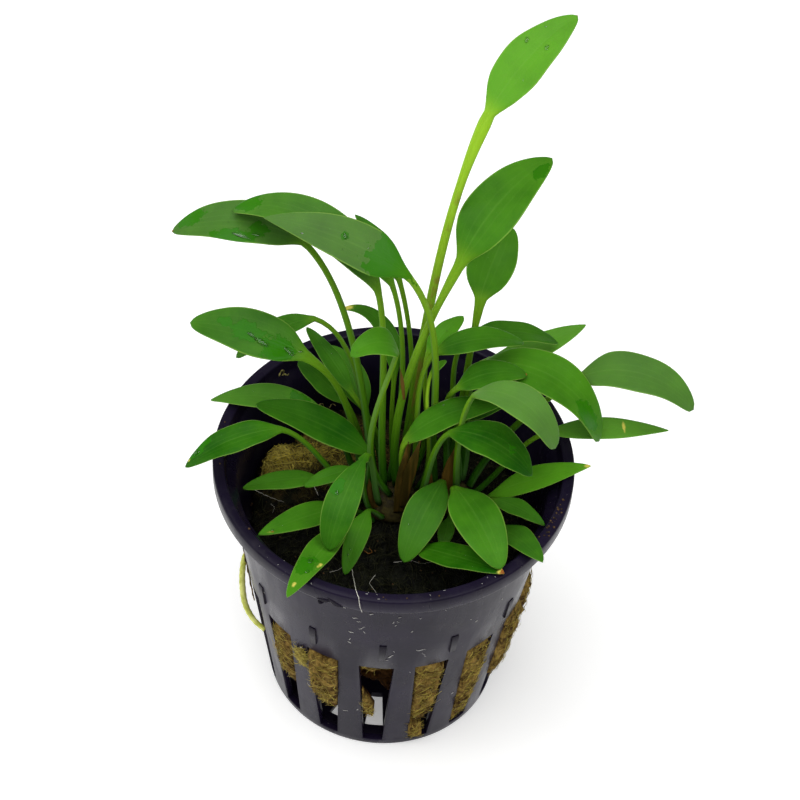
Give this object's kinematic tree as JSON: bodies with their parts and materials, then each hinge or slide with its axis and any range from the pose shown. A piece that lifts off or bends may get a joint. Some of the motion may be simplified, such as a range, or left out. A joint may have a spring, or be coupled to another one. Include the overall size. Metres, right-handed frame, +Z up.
{
  "type": "potted cryptocoryne",
  "caption": "Small potted water plant with long-stalked green leaves, growing from a wool plug in a slotted plastic net pot.",
  "frame": {"origin": "centre of the pot's base, on the surface that it stands on", "axes": "+Z up along the pot's axis; -Y is the front, which the picture shows from above; +X is the picture's right"},
  "size_m": [0.0793, 0.0562, 0.1155],
  "materials": {
    "pot": "semi-gloss dark purple-grey moulded plastic, dusty in places",
    "wool": "matt fibrous mineral wool, tan to brown, wet and dark on top",
    "stem": "matt olive-brown plant tissue",
    "leaf": "satin green leaf with a faint midrib and a thin pale margin",
    "root": "pale yellow-green root, slightly shiny"
  },
  "bodies": {
    "root": {"pot": "pot", "wool": "wool", "crown_main": "stem", "crown_side": "stem", "tall_1": "leaf", "tall_2": "leaf", "tall_3": "leaf", "high_left_1": "leaf", "high_left_2": "leaf", "high_left_3": "leaf", "high_left_4": "leaf", "high_left_5": "leaf", "mid_left_1": "leaf", "mid_left_2": "leaf", "mid_left_3": "leaf", "mid_left_4": "leaf", "mid_left_5": "leaf", "mid_left_6": "leaf", "mid_left_7": "leaf", "inner_1": "leaf", "inner_2": "leaf", "back_right_1": "leaf", "back_right_2": "leaf", "right_1": "leaf", "right_2": "leaf", "right_3": "leaf", "right_4": "leaf", "right_5": "leaf", "right_6": "leaf", "right_7": "leaf", "inner_3": "leaf", "front_1": "leaf", "front_2": "leaf", "front_3": "leaf", "left_1": "leaf", "left_2": "leaf", "left_3": "leaf", "left_4": "leaf", "left_5": "leaf", "left_6": "leaf", "front_4": "leaf", "front_5": "leaf", "front_6": "leaf", "front_7": "leaf", "front_8": "leaf", "front_9": "leaf", "new_leaf": "leaf", "inner_4": "leaf", "outside_root": "root"}
  },
  "joints": []
}
